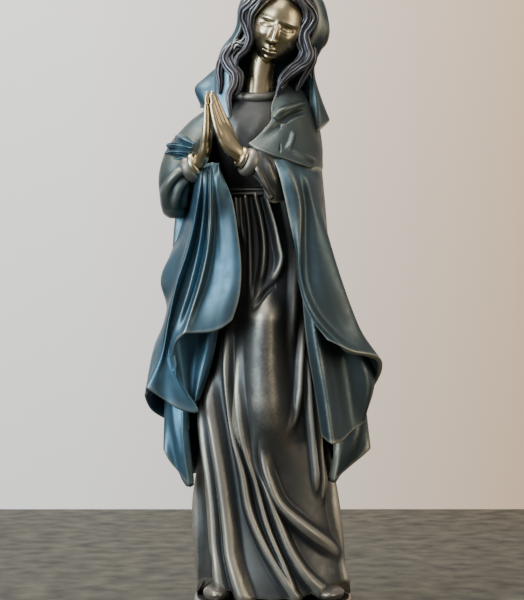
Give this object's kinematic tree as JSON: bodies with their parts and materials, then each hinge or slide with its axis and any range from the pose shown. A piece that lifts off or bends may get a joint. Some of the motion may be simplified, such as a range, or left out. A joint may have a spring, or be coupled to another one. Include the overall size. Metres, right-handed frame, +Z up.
{
  "type": "madonna statue",
  "caption": "Standing praying Madonna, a table-top cold-cast bronze statue in a hooded cloak and pleated dress on a low oval plinth.",
  "frame": {"origin": "centre of the felt pad's underside, where the statue stands", "axes": "+Z up, -Y towards the viewer the figure faces, +X to that viewer's right"},
  "size_m": [0.1112, 0.0776, 0.3],
  "materials": {
    "cloak_patina": "satin blue-green patina over bronze",
    "dress_bronze": "satin brown bronze with rubbed edges",
    "polished_bronze": "polished",
    "dark_bronze": "satin dark bronze",
    "steel": "satin",
    "felt": "matte"
  },
  "bodies": {
    "root": {"felt_pad": "felt", "base": "dark_bronze", "base_screw": "steel", "base_washer": "steel", "waist_pin": "steel", "neck_pin": "steel", "right_wrist_pin": "steel", "left_wrist_pin": "steel", "right_foot": "dark_bronze", "left_foot": "dark_bronze", "skirt": "dress_bronze", "belt": "dress_bronze", "bodice": "dress_bronze", "neckline_band": "dress_bronze", "head": "polished_bronze", "right_hand": "polished_bronze", "left_hand": "polished_bronze", "right_cuff": "dress_bronze", "left_cuff": "dress_bronze", "right_sleeve": "cloak_patina", "left_sleeve": "dress_bronze", "hair_right": "dark_bronze", "hair_left": "dark_bronze", "hair_crown": "dark_bronze", "hood": "cloak_patina", "veil_left": "cloak_patina", "veil_right": "cloak_patina", "veil_back": "cloak_patina", "mantle_right": "cloak_patina", "mantle_left": "cloak_patina", "mantle_back": "cloak_patina"}
  },
  "joints": []
}
